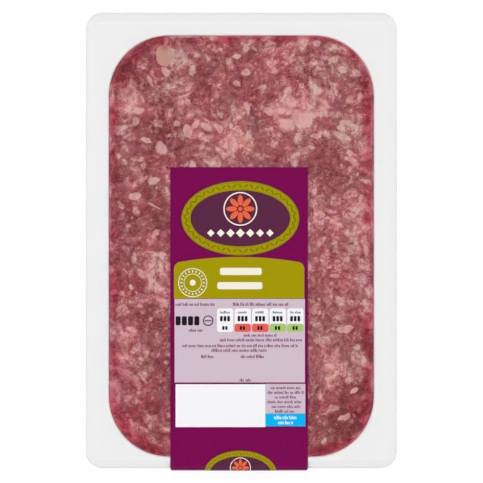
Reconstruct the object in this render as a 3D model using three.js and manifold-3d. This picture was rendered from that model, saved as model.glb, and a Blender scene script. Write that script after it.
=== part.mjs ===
// A sealed retail tray of raw mince, lying flat with its clear lid up: a shallow white moulded tray with a
// wide flange, the pressed block of mince that fills it, a clear film sealed over the flange, and one printed
// label that lies on the film and folds down over the front edge. Millimetres, +Z up, +Y towards the back.
import * as THREE from "three";
import { mergeVertices } from "three/addons/utils/BufferGeometryUtils.js";
import Module from "manifold-3d";

const wasm = await Module();
wasm.setup();

// Driving dimensions of the tray
const TRAY_WIDTH = 155;
const TRAY_LENGTH = 227;
const TRAY_HEIGHT = 23;
const TRAY_CORNER = 8.4;
const WALL = 0.7;
const RIM_SIDE = 11.5; // flange from its outer edge to the mouth, at the sides and the back
const RIM_FRONT = 5.9; // the front flange is narrower
const MOUTH_CORNER = 30;
const MOUTH_FILLET = 1.2;
const WALL_DRAFT = THREE.MathUtils.degToRad(8);
const FLOOR_FILLET = 5;
const LIP_SIDE = 4.5; // outer band of the flange that turns down
const LIP_FRONT = 2.3;
const LIP_DROP = 2.5;

// Driving dimensions of the film and the label
const FILM_THICKNESS = 0.25;
const REST_GAP = 0.1; // between pieces that lie on each other
const LABEL_WIDTH = 68.4;
const LABEL_OFF_CENTRE = -1.1;
const LABEL_THICKNESS = 0.3;
const LABEL_BACK_EDGE = 36.4; // from the middle of the tray
const LABEL_PROUD = 1.25; // how far the fold stands out past the front edge
const LABEL_FOLD_RADIUS = 2.5;
const LABEL_TOUCHES_WALL_AT = 9; // height where the hanging end meets the front wall
const LABEL_END_HEIGHT = 4;

// Driving dimensions of the mince
const MINCE_CLEARANCE = 0.3;
const GRAIN_LENGTH = 10.8;
const GRAIN_WIDTH = 6.3;
const GRAIN_CROWN = 0.62; // share of a grain's outline that its pressed flat top keeps
const CROWN_HEIGHT = 22;
const CREVICE_HEIGHT = 20.5;
const CROWN_UNEVENNESS = 1.1;
const CREVICE_UNEVENNESS = 0.7;
const CORNER_SCATTER = 1.3;
const SWIRL_REACH = 5.5; // how far the flow of the grains wanders from straight rows
const SWIRL_LENGTH = 34;
const WALL_SHADE = 7; // width of the band along the wall where the mince lies lower
const WALL_DIP = 1.3;

const CORNER_STEPS = 9;
const FILLET_STEPS = 3;
const LIP_STEPS = 3;
const FOLD_STEPS = 9;

const COLOURS = {
  tray: { color: 0xf0f0f0, roughness: 0.45, metalness: 0 },
  mince: { color: 0xa55f64, roughness: 0.5, metalness: 0 },
  film: { color: 0xffffff, roughness: 0.08, metalness: 0, transparent: true, opacity: 0.18 },
  label: { color: 0x7c1552, roughness: 0.4, metalness: 0 },
};

// Outlines that the tray, film and mince are lofted through, each from front to back of the tray
const RIM = {
  halfWidth: TRAY_WIDTH / 2,
  front: -TRAY_LENGTH / 2,
  back: TRAY_LENGTH / 2,
  radius: TRAY_CORNER,
};
const MOUTH = {
  halfWidth: TRAY_WIDTH / 2 - RIM_SIDE,
  front: -TRAY_LENGTH / 2 + RIM_FRONT,
  back: TRAY_LENGTH / 2 - RIM_SIDE,
  radius: MOUTH_CORNER,
};

function shrunk(outline, inset, frontInset = inset) {
  return {
    halfWidth: outline.halfWidth - inset,
    front: outline.front + frontInset,
    back: outline.back - inset,
    radius: outline.radius - inset,
  };
}

// A rounded rectangle at height z, anticlockwise from above, always with the same number of points
function ring(outline, z) {
  const { halfWidth, front, back, radius } = outline;
  const right = halfWidth - radius;
  const corners = [
    [right, back - radius],
    [-right, back - radius],
    [-right, front + radius],
    [right, front + radius],
  ];
  const points = [];
  corners.forEach(([x, y], quarter) => {
    for (let step = 0; step <= CORNER_STEPS; step++) {
      const angle = (quarter + step / CORNER_STEPS) * (Math.PI / 2);
      points.push(new THREE.Vector3(x + radius * Math.cos(angle), y + radius * Math.sin(angle), z));
    }
  });
  return points;
}

// One closed surface through rings that start at an upper face's middle and end at a lower face's middle
function loft(rings) {
  const positions = [];
  const indices = [];
  const count = rings[0].length;
  rings.forEach((points) => points.forEach((p) => positions.push(p.x, p.y, p.z)));
  for (let row = 0; row + 1 < rings.length; row++) {
    for (let i = 0; i < count; i++) {
      const a = row * count + i;
      const b = row * count + ((i + 1) % count);
      indices.push(a, b + count, b, a, a + count, b + count);
    }
  }
  const capEnd = (row, faceUp) => {
    const middle = new THREE.Vector3();
    rings[row].forEach((p) => middle.addScaledVector(p, 1 / count));
    const centre = positions.length / 3;
    positions.push(middle.x, middle.y, middle.z);
    for (let i = 0; i < count; i++) {
      const a = row * count + i;
      const b = row * count + ((i + 1) % count);
      indices.push(...(faceUp ? [centre, a, b] : [centre, b, a]));
    }
  };
  capEnd(0, true);
  capEnd(rings.length - 1, false);
  const geometry = new THREE.BufferGeometry();
  geometry.setAttribute("position", new THREE.Float32BufferAttribute(positions, 3));
  geometry.setIndex(indices);
  geometry.computeVertexNormals();
  return geometry;
}

// Rings down a drafted wall from the mouth to the floor; grow moves the wall outwards by that much
function wallRings(grow, floorHeight, topHeight) {
  const fillet = FLOOR_FILLET + grow;
  const insetAt = (z) => (TRAY_HEIGHT - z) * Math.tan(WALL_DRAFT) - grow;
  const filletTop = floorHeight + fillet;
  const rings = [ring(shrunk(MOUTH, insetAt(topHeight)), topHeight)];
  for (let step = 0; step <= FILLET_STEPS; step++) {
    const angle = (step / FILLET_STEPS) * (Math.PI / 2);
    const inset = insetAt(filletTop) + fillet * (1 - Math.cos(angle));
    rings.push(ring(shrunk(MOUTH, inset), filletTop - fillet * Math.sin(angle)));
  }
  return rings;
}

// Rings over the turned-down lip, from the flat flange to its outer edge
function lipRings(height) {
  const rings = [];
  for (let step = 0; step <= LIP_STEPS; step++) {
    const share = 1 - step / LIP_STEPS;
    const outline = shrunk(RIM, LIP_SIDE * share, LIP_FRONT * share);
    rings.push(ring(outline, height - LIP_DROP * (1 - share) ** 2));
  }
  return rings;
}

function trayGeometry() {
  const inside = wallRings(0, WALL, TRAY_HEIGHT - MOUTH_FILLET).reverse();
  const outside = wallRings(WALL, 0, TRAY_HEIGHT - WALL);
  const mouthEdge = [];
  for (let step = 1; step <= FILLET_STEPS; step++) {
    const angle = (step / FILLET_STEPS) * (Math.PI / 2);
    const inset = MOUTH_FILLET * (Math.cos(angle) - 1);
    mouthEdge.push(ring(shrunk(MOUTH, inset), TRAY_HEIGHT - MOUTH_FILLET * (1 - Math.sin(angle))));
  }
  return loft([
    ...inside,
    ...mouthEdge,
    ...lipRings(TRAY_HEIGHT),
    ...lipRings(TRAY_HEIGHT - WALL).reverse(),
    ...outside,
  ]);
}

function filmGeometry() {
  const underside = TRAY_HEIGHT + REST_GAP;
  return loft([...lipRings(underside + FILM_THICKNESS), ...lipRings(underside).reverse()]);
}

// The label's side view: its underside from the back edge over the fold to the hanging end, as [y, z] points
function labelPath() {
  const top = TRAY_HEIGHT + 2 * REST_GAP + FILM_THICKNESS;
  const foldY = -TRAY_LENGTH / 2 - LABEL_PROUD + LABEL_THICKNESS + LABEL_FOLD_RADIUS;
  const foldZ = top - LABEL_FOLD_RADIUS;
  const wallY = (z) => MOUTH.front - WALL - REST_GAP + (TRAY_HEIGHT - z) * Math.tan(WALL_DRAFT);
  const touch = new THREE.Vector2(wallY(LABEL_TOUCHES_WALL_AT), LABEL_TOUCHES_WALL_AT);
  const away = touch.clone().sub(new THREE.Vector2(foldY, foldZ));
  const reach = away.length();
  const tangentTurn = Math.acos(LABEL_FOLD_RADIUS / reach);
  const endAngle = away.angle() - tangentTurn;
  const path = [new THREE.Vector2(LABEL_BACK_EDGE, top)];
  for (let step = 0; step <= FOLD_STEPS; step++) {
    const angle = Math.PI / 2 + (step / FOLD_STEPS) * (endAngle - Math.PI / 2);
    path.push(
      new THREE.Vector2(
        foldY + LABEL_FOLD_RADIUS * Math.cos(angle),
        foldZ + LABEL_FOLD_RADIUS * Math.sin(angle),
      ),
    );
  }
  path.push(touch, new THREE.Vector2(wallY(LABEL_END_HEIGHT), LABEL_END_HEIGHT));
  return path;
}

function labelGeometry() {
  const path = labelPath();
  const outer = path.map((point, i) => {
    const before = path[Math.max(i - 1, 0)];
    const after = path[Math.min(i + 1, path.length - 1)];
    const along = after.clone().sub(before).normalize();
    return new THREE.Vector2(point.x + along.y * LABEL_THICKNESS, point.y - along.x * LABEL_THICKNESS);
  });
  const shape = new THREE.Shape([...path, ...outer.reverse()]);
  const geometry = new THREE.ExtrudeGeometry(shape, {
    depth: LABEL_WIDTH,
    bevelEnabled: false,
    steps: 1,
  });
  const sideViewToTray = new THREE.Matrix4().makeBasis(
    new THREE.Vector3(0, 1, 0),
    new THREE.Vector3(0, 0, 1),
    new THREE.Vector3(1, 0, 0),
  );
  geometry.applyMatrix4(sideViewToTray);
  geometry.translate(LABEL_OFF_CENTRE - LABEL_WIDTH / 2, 0, 0);
  return geometry;
}

// A number from 0 to 1 that depends only on the place and on which number is asked for
function scatter(x, y, which) {
  const mixed = Math.sin(x * 12.9898 + y * 78.233 + which * 37.719) * 43758.5453;
  return mixed - Math.floor(mixed);
}

// Bends the straight rows of grains into a wandering flow
function swirl(x, y) {
  const turn = (Math.PI * 2) / SWIRL_LENGTH;
  const dx = Math.sin(y * turn * 0.8 + 1.3) + 0.5 * Math.sin((x + y) * turn * 0.5);
  const dy = Math.sin(x * turn + 0.4) + 0.6 * Math.sin((x - 2 * y) * turn * 0.35 + 2);
  return [x + SWIRL_REACH * 0.6 * dx, y + SWIRL_REACH * dy * 0.7];
}

// How far a point lies inside the mouth's outline
function depthInside(x, y) {
  const { halfWidth, front, back, radius } = MOUTH;
  const middle = (front + back) / 2;
  const dx = Math.abs(x) - (halfWidth - radius);
  const dy = Math.abs(y - middle) - ((back - front) / 2 - radius);
  const outside = Math.hypot(Math.max(dx, 0), Math.max(dy, 0)) + Math.min(Math.max(dx, dy), 0);
  return radius - outside;
}

function dipAt(x, y) {
  const near = THREE.MathUtils.clamp(1 - depthInside(x, y) / WALL_SHADE, 0, 1);
  return WALL_DIP * near * near;
}

// A slab whose top is a packed layer of grains: six-sided plateaus with crevices between them
function grainSlab() {
  const positions = [];
  const indices = [];
  const known = new Map();
  const vertex = (key, x, y, z) => {
    if (!known.has(key)) {
      known.set(key, positions.length / 3);
      positions.push(x, y, z);
    }
    return known.get(key);
  };
  const columns = Math.ceil(MOUTH.halfWidth / GRAIN_LENGTH) + 2;
  const rows = Math.ceil(TRAY_LENGTH / 2 / GRAIN_WIDTH) + 2;
  const floor = -1;
  const edges = new Map();
  for (let row = -rows; row <= rows; row++) {
    for (let column = -columns; column <= columns; column++) {
      const x = (column + (row & 1) / 2) * GRAIN_LENGTH;
      const y = row * GRAIN_WIDTH;
      const [cx, cy] = swirl(x, y);
      const crown = CROWN_HEIGHT + CROWN_UNEVENNESS * (scatter(x, y, 1) - 0.5) - dipAt(cx, cy);
      const low = [];
      const high = [];
      const under = [];
      for (let side = 0; side < 6; side++) {
        // Corners of a six-sided cell in a brick-like lattice, shared by the three cells that meet there
        const alongRow = [0, -1, -1, 0, 1, 1][side] * (GRAIN_LENGTH / 2);
        const acrossRows = [2, 1, -1, -2, -1, 1][side] * (GRAIN_WIDTH / 3);
        const px = Math.round((x + alongRow) * 100) / 100;
        const py = Math.round((y + acrossRows) * 100) / 100;
        const key = `${px},${py}`;
        const [sx, sy] = swirl(px, py);
        const jx = sx + CORNER_SCATTER * (scatter(px, py, 2) - 0.5) * 2;
        const jy = sy + CORNER_SCATTER * (scatter(px, py, 3) - 0.5);
        const crevice = CREVICE_HEIGHT + CREVICE_UNEVENNESS * (scatter(px, py, 4) - 0.5) - dipAt(jx, jy);
        low.push(vertex(`low ${key}`, jx, jy, crevice));
        under.push(vertex(`under ${key}`, jx, jy, floor));
        const share = GRAIN_CROWN + 0.16 * (scatter(px, py + x, 5) - 0.5);
        const top = crown + 0.3 * (scatter(px + y, py, 6) - 0.5);
        high.push(vertex(`high ${key} of ${row},${column}`, cx + (jx - cx) * share, cy + (jy - cy) * share, top));
      }
      for (let side = 0; side < 6; side++) {
        const next = (side + 1) % 6;
        indices.push(low[side], low[next], high[next], low[side], high[next], high[side]);
        const edge = `${low[side]} ${low[next]}`;
        const shared = `${low[next]} ${low[side]}`;
        if (edges.has(shared)) edges.delete(shared);
        else edges.set(edge, [low[side], low[next], under[side], under[next]]);
      }
      for (let side = 1; side + 1 < 6; side++) {
        indices.push(high[0], high[side], high[side + 1]);
        indices.push(under[0], under[side + 1], under[side]);
      }
    }
  }
  for (const [a, b, underA, underB] of edges.values()) {
    indices.push(a, underA, underB, a, underB, b);
  }
  const geometry = new THREE.BufferGeometry();
  geometry.setAttribute("position", new THREE.Float32BufferAttribute(positions, 3));
  geometry.setIndex(indices);
  return geometry;
}

function solidOf(geometry) {
  const bare = geometry.clone();
  bare.deleteAttribute("normal");
  bare.deleteAttribute("uv");
  const merged = mergeVertices(bare, 1e-4);
  return new wasm.Manifold(
    new wasm.Mesh({
      numProp: 3,
      vertProperties: merged.attributes.position.array,
      triVerts: new Uint32Array(merged.index.array),
    }),
  );
}

function geometryOf(solid) {
  const mesh = solid.getMesh();
  const positions = [];
  for (let i = 0; i < mesh.numVert; i++) {
    positions.push(...mesh.vertProperties.subarray(i * mesh.numProp, i * mesh.numProp + 3));
  }
  const geometry = new THREE.BufferGeometry();
  geometry.setAttribute("position", new THREE.Float32BufferAttribute(positions, 3));
  geometry.setIndex([...mesh.triVerts]);
  geometry.computeVertexNormals();
  return geometry;
}

// The grains, cut to the inside of the tray
function minceGeometry() {
  const topOfBlock = TRAY_HEIGHT - MINCE_CLEARANCE;
  const cavity = wallRings(-MINCE_CLEARANCE, WALL + MINCE_CLEARANCE, topOfBlock);
  return geometryOf(solidOf(loft(cavity)).intersect(solidOf(grainSlab())));
}

function piece(name, geometry, colour) {
  const mesh = new THREE.Mesh(geometry, new THREE.MeshStandardMaterial(colour));
  mesh.name = name;
  return mesh;
}

// The origin lies under the middle of the whole pack, so the tray stands back by half of what the fold stands out
const pack = new THREE.Group();
pack.add(
  piece("tray", trayGeometry(), COLOURS.tray),
  piece("mince", minceGeometry(), COLOURS.mince),
  piece("film", filmGeometry(), COLOURS.film),
  piece("label", labelGeometry(), COLOURS.label),
);
pack.position.y = LABEL_PROUD / 2;

const part = new THREE.Group();
part.add(pack);

export default part;
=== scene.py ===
import math
import random
from collections import namedtuple

import bmesh
import bpy
from bpy.props import FloatProperty, FloatVectorProperty, IntProperty, PointerProperty
from mathutils import Matrix, Vector, noise


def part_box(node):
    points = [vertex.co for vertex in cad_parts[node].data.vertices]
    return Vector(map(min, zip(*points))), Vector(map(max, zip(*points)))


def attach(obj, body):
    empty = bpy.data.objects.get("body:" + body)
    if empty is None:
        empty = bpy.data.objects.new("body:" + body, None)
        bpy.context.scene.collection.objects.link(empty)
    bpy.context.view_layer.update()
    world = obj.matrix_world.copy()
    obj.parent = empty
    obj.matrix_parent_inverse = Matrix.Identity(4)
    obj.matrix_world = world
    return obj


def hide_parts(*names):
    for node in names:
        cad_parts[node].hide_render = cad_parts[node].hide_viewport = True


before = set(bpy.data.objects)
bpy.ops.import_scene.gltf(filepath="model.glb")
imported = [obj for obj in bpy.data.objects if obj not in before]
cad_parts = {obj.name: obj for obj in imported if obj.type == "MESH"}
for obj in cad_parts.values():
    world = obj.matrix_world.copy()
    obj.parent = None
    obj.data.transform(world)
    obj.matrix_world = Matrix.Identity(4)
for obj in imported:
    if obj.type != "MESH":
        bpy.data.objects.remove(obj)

bl_info = {
    "name": "Meat tray pack",
    "version": (1, 0, 0),
    "blender": (4, 5, 0),
    "location": "3D View > Sidebar > Meat tray",
    "description": "Builds a sealed tray of mince with its film, label and studio",
    "category": "Add Mesh",
}

MM = 0.001
# How far a wall moves in for each unit of height: the tray's walls lean by 8 degrees
DRAFT = math.tan(math.radians(8))
# From the flange up to the film, the film itself, and from the film's underside up to the label
FILM_GAP = 0.1 * MM
FILM_THICK = 0.06 * MM
LABEL_GAP = FILM_THICK + 0.1 * MM
# Between the mince and the tray's wall and floor
MINCE_GAP = 0.04 * MM
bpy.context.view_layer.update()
TRAY_LOW, TRAY_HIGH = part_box("tray")
LABEL_LOW, LABEL_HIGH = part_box("label")


def length(label, words, size):
    """A length that a user can change, in metres."""
    return FloatProperty(name=label, description=words, default=size, unit="LENGTH", precision=5)


def colour(label, words, hex_colour):
    """A colour that a user can change, kept as Blender's linear numbers."""
    return FloatVectorProperty(
        name=label, description=words, default=linear(hex_colour), subtype="COLOR", size=3, min=0, max=1
    )


def linear(hex_colour):
    """An sRGB colour such as 'F0F0F0' as linear red, green and blue."""
    channels = []
    for start in (0, 2, 4):
        share = int(hex_colour[start : start + 2], 16) / 255
        channels.append(share / 12.92 if share <= 0.04045 else ((share + 0.055) / 1.055) ** 2.4)
    return tuple(channels)


class PackSizes(bpy.types.PropertyGroup):
    """Sizes of the tray, film, label and mince"""

    wall: length("Wall", "Thickness of the tray's plastic", 0.7 * MM)
    rim_side: length("Side rim", "Flange from its outer edge to the mouth, sides and back", 11.5 * MM)
    rim_front: length("Front rim", "Flange from its outer edge to the mouth, front", 5.9 * MM)
    tray_corner: length("Tray corner", "Corner radius of the flange", 8.4 * MM)
    mouth_corner: length("Mouth corner", "Corner radius of the mouth", 30 * MM)
    mouth_fillet: length("Mouth fillet", "Round between the inner wall and the flange", 0.7 * MM)
    floor_fillet: length("Floor fillet", "Round between the inner wall and the floor", 5 * MM)
    lip_side: length("Side lip", "Width of the flange's turned-down band, sides and back", 4.5 * MM)
    lip_front: length("Front lip", "Width of the flange's turned-down band, front", 4.2 * MM)
    lip_drop: length("Lip drop", "How far the band turns down", 2.5 * MM)
    film_dip: length("Film dip", "How far the film is drawn down onto the mince", 0.26 * MM)
    label_thick: length("Label thickness", "Thickness of the label's plastic", 0.2 * MM)
    ink: length("Ink step", "Height of each printed layer over the one below", 0.02 * MM)
    fold_radius: length("Fold radius", "Inner radius of the label's front fold", 2 * MM)
    grain: length("Grain", "Width of a pressed grain of mince", 4.6 * MM)
    grain_depth: length("Grain depth", "Depth of the crevices between grains", 0.75 * MM)
    small_flecks: IntProperty(name="Small flecks", description="Specks of fat", default=650, min=0)
    fat_pieces: IntProperty(name="Fat pieces", description="Larger pieces of fat", default=160, min=0)
    threads: IntProperty(name="Threads", description="Fine pale strands of sinew", default=170, min=0)


class PackColours(bpy.types.PropertyGroup):
    """Colours of the tray, mince and label print"""

    tray: colour("Tray", "White moulded plastic", "EDEDED")
    lean_deep: colour("Deep lean", "Darkest specks of the meat", "73292F")
    lean_dark: colour("Dark lean", "Dark side of the lean meat", "914449")
    lean: colour("Lean", "Middle of the lean meat", "AB6266")
    lean_pale: colour("Pale lean", "Lean meat mixed with fine fat", "C48585")
    fat_pink: colour("Pink fat", "Fat stained by the lean", "CE9A96")
    fat_light: colour("Light fat", "Cleanest, palest fat", "DCB6AE")
    fat_warm: colour("Warm fat", "Beige of the thickest fat", "C79C88")
    mauve_tint: colour("Mauve tint", "Cast of the cooler regions of meat", "FDF6FF")
    beige_tint: colour("Beige tint", "Cast of the warmer regions of meat", "FFFFF8")
    red_tint: colour("Red tint", "Cast of the bloodier regions of meat", "FFE9EF")
    grey_tint: colour("Grey tint", "Cast of the duller regions of meat", "F2FFF9")
    juice: colour("Juice", "Red that bright juice lays over the meat", "E27C9E")
    purple: colour("Purple", "Ground of the label", "7A0650")
    plum: colour("Plum", "Dark field of the medallion", "5B2845")
    olive: colour("Olive", "Panel and ring", "A49801")
    olive_dark: colour("Dark olive", "Lines on the panel", "837800")
    lilac: colour("Lilac", "Information panel", "D3C0CF")
    orange: colour("Orange", "Emblem", "ED693F")
    cream: colour("Cream", "Bars and ring", "F6F0DF")
    white: colour("White", "White panels", "F7F6F9")
    black: colour("Black", "Dark bars", "231A22")
    blue: colour("Blue", "Lower right box", "00B7F7")
    red: colour("Red", "Red boxes", "EC5F55")
    green: colour("Green", "Green boxes", "A9CB70")


class StudioSettings(bpy.types.PropertyGroup):
    """Camera and light"""

    distance: length("Camera distance", "Camera above the flange", 1.55)
    frame_width: length("Frame", "Width that the picture shows at the flange's height", 240.2 * MM)
    room_light: FloatProperty(name="Room light", description="Even light from all round", default=2.68, min=0)
    key_light: FloatProperty(
        name="Key light", description="Soft box above the back left", default=0.5, min=0, unit="POWER"
    )


Outline = namedtuple("Outline", "half_width front back corner")


def shrunk(outline, inset, front_inset=None):
    """The outline moved in by inset, and by front_inset at the front."""
    if front_inset is None:
        front_inset = inset
    return Outline(
        outline.half_width - inset,
        outline.front + front_inset,
        outline.back - inset,
        outline.corner - inset,
    )


def rim_outline(sizes):
    """The tray's outer edge."""
    return Outline(TRAY_HIGH.x, TRAY_LOW.y, TRAY_HIGH.y, sizes.tray_corner)


def mouth_outline(sizes):
    """The mouth, where the inner wall reaches the flange's top."""
    return Outline(
        TRAY_HIGH.x - sizes.rim_side,
        TRAY_LOW.y + sizes.rim_front,
        TRAY_HIGH.y - sizes.rim_side,
        sizes.mouth_corner,
    )


# The tray, film and mince share one way of naming a place on a rounded rectangle: s and t run from -1 to 1
# across and along it, and the last stretch of each, past these shares, belongs to the corners.
CORNER_FROM_S = 0.545
CORNER_FROM_T = 0.714


def place_on(outline, s, t):
    """The point of the outline's area at share s across and t along."""
    reach_s = max(0, (abs(s) - CORNER_FROM_S) / (1 - CORNER_FROM_S))
    reach_t = max(0, (abs(t) - CORNER_FROM_T) / (1 - CORNER_FROM_T))
    half_length = (outline.back - outline.front) / 2
    x = min(abs(s) / CORNER_FROM_S, 1) * (outline.half_width - outline.corner)
    y = min(abs(t) / CORNER_FROM_T, 1) * (half_length - outline.corner)
    x += outline.corner * reach_s * math.sqrt(1 - reach_t * reach_t / 2)
    y += outline.corner * reach_t * math.sqrt(1 - reach_s * reach_s / 2)
    middle = (outline.back + outline.front) / 2
    return math.copysign(x, s), middle + math.copysign(y, t)


def ring_places(corner_steps):
    """Places round the edge of the unit square, anticlockwise, evenly turned in the corners."""
    quarter = []
    for step in range(corner_steps + 1):
        angle = math.pi / 2 * step / corner_steps
        reach_s = min(1, math.sqrt(2) * math.cos(angle))
        reach_t = min(1, math.sqrt(2) * math.sin(angle))
        s = CORNER_FROM_S + (1 - CORNER_FROM_S) * reach_s
        t = CORNER_FROM_T + (1 - CORNER_FROM_T) * reach_t
        quarter.append((s, t))
    places = []
    for flip_s, flip_t, turned in ((1, 1, 1), (-1, 1, -1), (-1, -1, 1), (1, -1, -1)):
        places += [(s * flip_s, t * flip_t) for s, t in quarter][::turned]
    return places


def loft(bm, rings, places):
    """Extrudes one loop of edges through rings, each an outline and a height, and closes both ends."""
    place = bm.verts.layers.float_vector.new("place")
    made = bmesh.ops.create_circle(bm, cap_ends=True, segments=len(places), radius=1)
    for vert, (s, t) in zip(made["verts"], places, strict=True):
        vert[place] = (s, t, 0)
    loop = bm.edges[:]
    verts = made["verts"]
    for number, (outline, height) in enumerate(rings):
        if number:
            grown = bmesh.ops.extrude_edge_only(bm, edges=loop)["geom"]
            verts = [part for part in grown if isinstance(part, bmesh.types.BMVert)]
            loop = [part for part in grown if isinstance(part, bmesh.types.BMEdge) and part.is_boundary]
        for vert in verts:
            vert.co = (*place_on(outline, vert[place].x, vert[place].y), height)
    bmesh.ops.contextual_create(bm, geom=loop)
    bmesh.ops.recalc_face_normals(bm, faces=bm.faces)


def finish_piece(name, bm, material, node=None, sharp=True):
    """Makes the shape an object of the part, riding on its one body."""
    for face in bm.faces:
        face.smooth = True
    mesh = bpy.data.meshes.new(name)
    bm.to_mesh(mesh)
    bm.free()
    if sharp:
        mesh.set_sharp_from_angle(angle=math.radians(40))
    mesh.materials.append(material)
    piece = bpy.data.objects.new(name, mesh)
    bpy.context.scene.collection.objects.link(piece)
    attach(piece, "root")
    if node:
        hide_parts(node)


def smooth_step(low, high, value):
    """From 0 at low to 1 at high, level at both ends."""
    share = min(max((value - low) / (high - low), 0), 1)
    return share * share * (3 - 2 * share)


# Materials

COLOUR_MIX = {"data_type": "RGBA"}
COLOUR_MULTIPLY = {"data_type": "RGBA", "blend_type": "MULTIPLY"}


def add(tree, kind, settings=None, values=None, links=None, stops=None):
    """Adds a node with its settings, socket values, incoming links and colour stops."""
    node = tree.nodes.new(kind)
    for name, value in (settings or {}).items():
        setattr(node, name, value)
    for socket, value in (values or {}).items():
        node.inputs[socket].default_value = value
    for socket, source in (links or {}).items():
        tree.links.new(source, node.inputs[socket])
    if stops:
        ramp = node.color_ramp.elements
        while len(ramp) < len(stops):
            ramp.new(1)
        for element, (position, stop) in zip(ramp, stops, strict=True):
            element.position = position
            element.color = (*stop, 1)
    return node


def new_material(name):
    """An empty node material and its output."""
    material = bpy.data.materials.new(name)
    material.use_nodes = True
    tree = material.node_tree
    tree.nodes.clear()
    output = tree.nodes.new("ShaderNodeOutputMaterial")
    return material, tree, output


def plain_plastic(name, base, roughness, bump_size=None, bump_depth=0):
    """Moulded or printed plastic of one colour, with a faint unevenness that breaks up its reflections."""
    material, tree, output = new_material(name)
    surface = add(
        tree,
        "ShaderNodeBsdfPrincipled",
        values={"Base Color": (*base, 1), "Roughness": roughness, "IOR": 1.49},
    )
    if bump_size:
        place = add(tree, "ShaderNodeTexCoord")
        grain = add(
            tree,
            "ShaderNodeTexNoise",
            values={"Scale": 1 / bump_size, "Detail": 2},
            links={"Vector": place.outputs["Object"]},
        )
        bump = add(
            tree,
            "ShaderNodeBump",
            values={"Strength": 1, "Distance": bump_depth},
            links={"Height": grain.outputs["Fac"]},
        )
        tree.links.new(bump.outputs["Normal"], surface.inputs["Normal"])
    tree.links.new(surface.outputs["BSDF"], output.inputs["Surface"])
    return material


def clear_film():
    """Stretched clear lidding film: it lets the meat show unchanged and only adds gloss at low angles."""
    material, tree, output = new_material("clear_lidding_film")
    through = add(tree, "ShaderNodeBsdfTransparent", values={"Color": (1, 1, 1, 1)})
    gloss = add(tree, "ShaderNodeBsdfGlossy", values={"Color": (1, 1, 1, 1), "Roughness": 0.12})
    share = add(tree, "ShaderNodeFresnel", values={"IOR": 1.4})
    # Where the film is bonded to the flange, the flange's own dull surface shows instead
    seal = add(tree, "ShaderNodeAttribute", {"attribute_name": "seal"})
    loose = add(
        tree, "ShaderNodeMapRange", values={"To Min": 1, "To Max": 0.1}, links={"Value": seal.outputs["Fac"]}
    )
    side = add(tree, "ShaderNodeNewGeometry")
    front = add(
        tree,
        "ShaderNodeMath",
        {"operation": "SUBTRACT"},
        values={0: 1},
        links={1: side.outputs["Backfacing"]},
    )
    factor = share.outputs["Fac"]
    for limit in (front.outputs[0], loose.outputs["Result"]):
        product = add(tree, "ShaderNodeMath", {"operation": "MULTIPLY"}, links={0: factor, 1: limit})
        factor = product.outputs[0]
    mixed = add(
        tree, "ShaderNodeMixShader", links={0: factor, 1: through.outputs["BSDF"], 2: gloss.outputs["BSDF"]}
    )
    tree.links.new(mixed.outputs["Shader"], output.inputs["Surface"])
    return material


def pressed_mince(colours):
    """Raw minced meat pressed under film: moist and matt, from dark lean through mauve red to pale fat.

    The vertex attributes tone, fat and juice carry what the shape knows: which grain is lean or pale, with
    painted shade in its crevices and at the wall, where a fleck of fat lies and where juice has run. Fine
    noise adds fibres and specks too small to model.
    """
    material, tree, output = new_material("pressed_raw_mince")
    place = add(tree, "ShaderNodeTexCoord").outputs["Object"]
    tone, fat, juice = (
        add(tree, "ShaderNodeAttribute", {"attribute_name": name}).outputs["Fac"]
        for name in ("tone", "fat", "juice")
    )
    # The meat's flow: a drift about 5 mm across bends everything finer, about 1.5 mm either way
    drift = add(
        tree, "ShaderNodeTexNoise", values={"Scale": 1 / (5 * MM), "Detail": 1}, links={"Vector": place}
    )
    flowing = add(
        tree,
        "ShaderNodeVectorMath",
        {"operation": "MULTIPLY_ADD"},
        values={1: (6 * MM, 6 * MM, 6 * MM)},
        links={0: drift.outputs["Color"], 2: place},
    ).outputs["Vector"]
    # Blotches of paler and darker meat, about 3 mm down to 0.5 mm
    blotches = add(
        tree,
        "ShaderNodeTexNoise",
        values={"Scale": 1 / (3.2 * MM), "Detail": 2.5, "Roughness": 0.55},
        links={"Vector": flowing},
    ).outputs["Fac"]
    # A second noise, about 2 mm across, gives the membranes and the fine relief
    fibres = add(
        tree,
        "ShaderNodeTexNoise",
        values={"Scale": 1 / (2.1 * MM), "Detail": 2, "Roughness": 0.6, "Distortion": 0.5},
        links={"Vector": flowing},
    ).outputs["Fac"]
    total = fibrous_tone(tree, tone, place, flowing, drift, blotches, fibres)
    lean = add(
        tree,
        "ShaderNodeValToRGB",
        links={"Fac": total},
        stops=[
            (0.04, tuple(colours.lean_deep)),
            (0.24, tuple(colours.lean_dark)),
            (0.52, tuple(colours.lean)),
            (0.69, tuple(colours.lean_pale)),
            (0.84, tuple(colours.fat_pink)),
            (0.97, tuple(colours.fat_light)),
        ],
    ).outputs["Color"]
    meat = fat_over(tree, colours, lean, fat, blotches)
    meat = region_tints(tree, colours, meat, flowing)
    meat = juice_over(tree, colours, meat, juice)
    bump = add(
        tree,
        "ShaderNodeBump",
        values={"Strength": 0.5, "Distance": 0.15 * MM},
        links={"Height": fibres},
    )
    surface = add(
        tree,
        "ShaderNodeBsdfPrincipled",
        values={"Roughness": 0.3, "IOR": 1.38},
        links={"Base Color": meat, "Normal": bump.outputs["Normal"]},
    )
    tree.links.new(surface.outputs["BSDF"], output.inputs["Surface"])
    return material


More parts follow.
